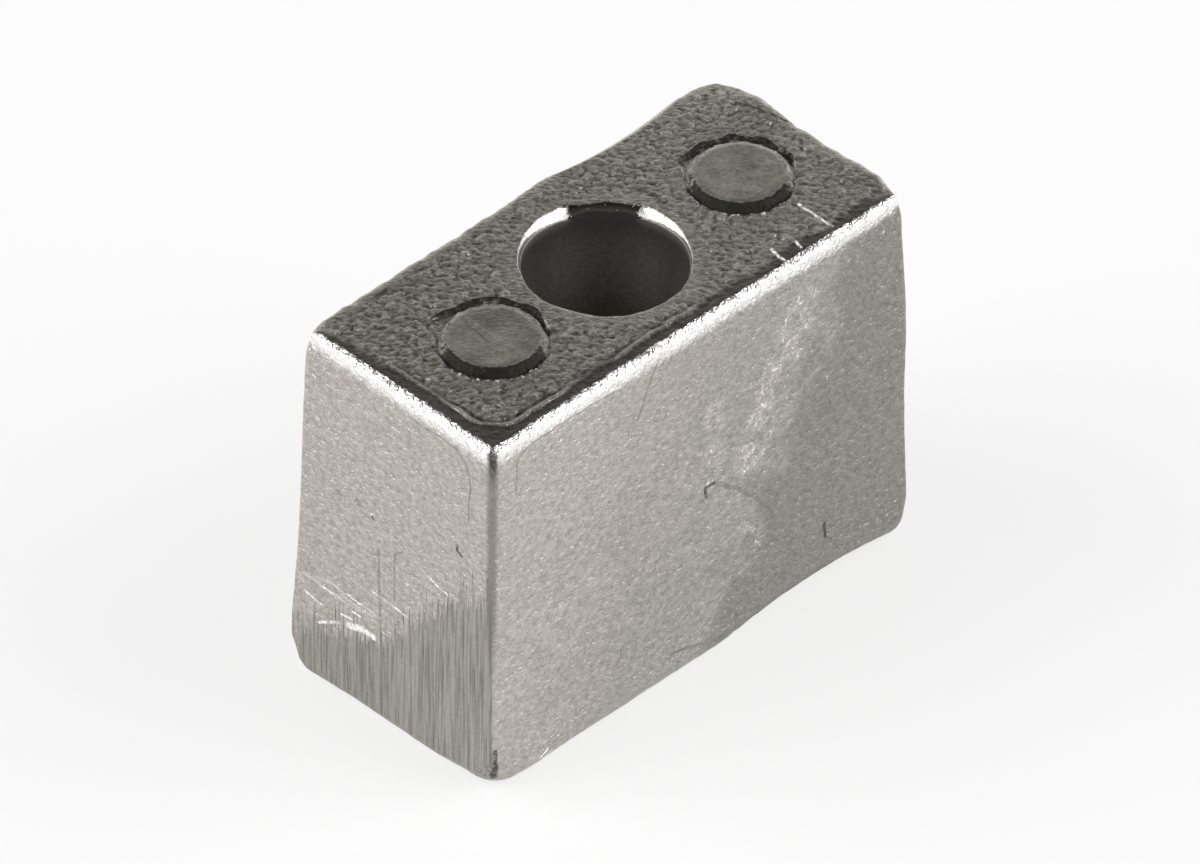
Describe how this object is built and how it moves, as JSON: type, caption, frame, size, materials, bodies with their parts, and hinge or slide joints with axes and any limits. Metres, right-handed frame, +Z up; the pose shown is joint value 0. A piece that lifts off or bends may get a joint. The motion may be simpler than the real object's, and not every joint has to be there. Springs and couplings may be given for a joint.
{
  "type": "sacrificial anode",
  "caption": "Drafted rectangular cast zinc block anode with a sunk bolt hole, raised round ejector pads on the as-cast face and a ground gate end.",
  "frame": {"origin": "centre of the flat mounting face at the foot of the block", "axes": "+X along the block, away from the ground gate end; +Y across it; +Z up the bolt hole to the as-cast face"},
  "size_m": [0.0507, 0.0242, 0.0385],
  "materials": {
    "cast_zinc": "satin"
  },
  "bodies": {
    "root": {"anode_block": "cast_zinc"}
  },
  "joints": []
}
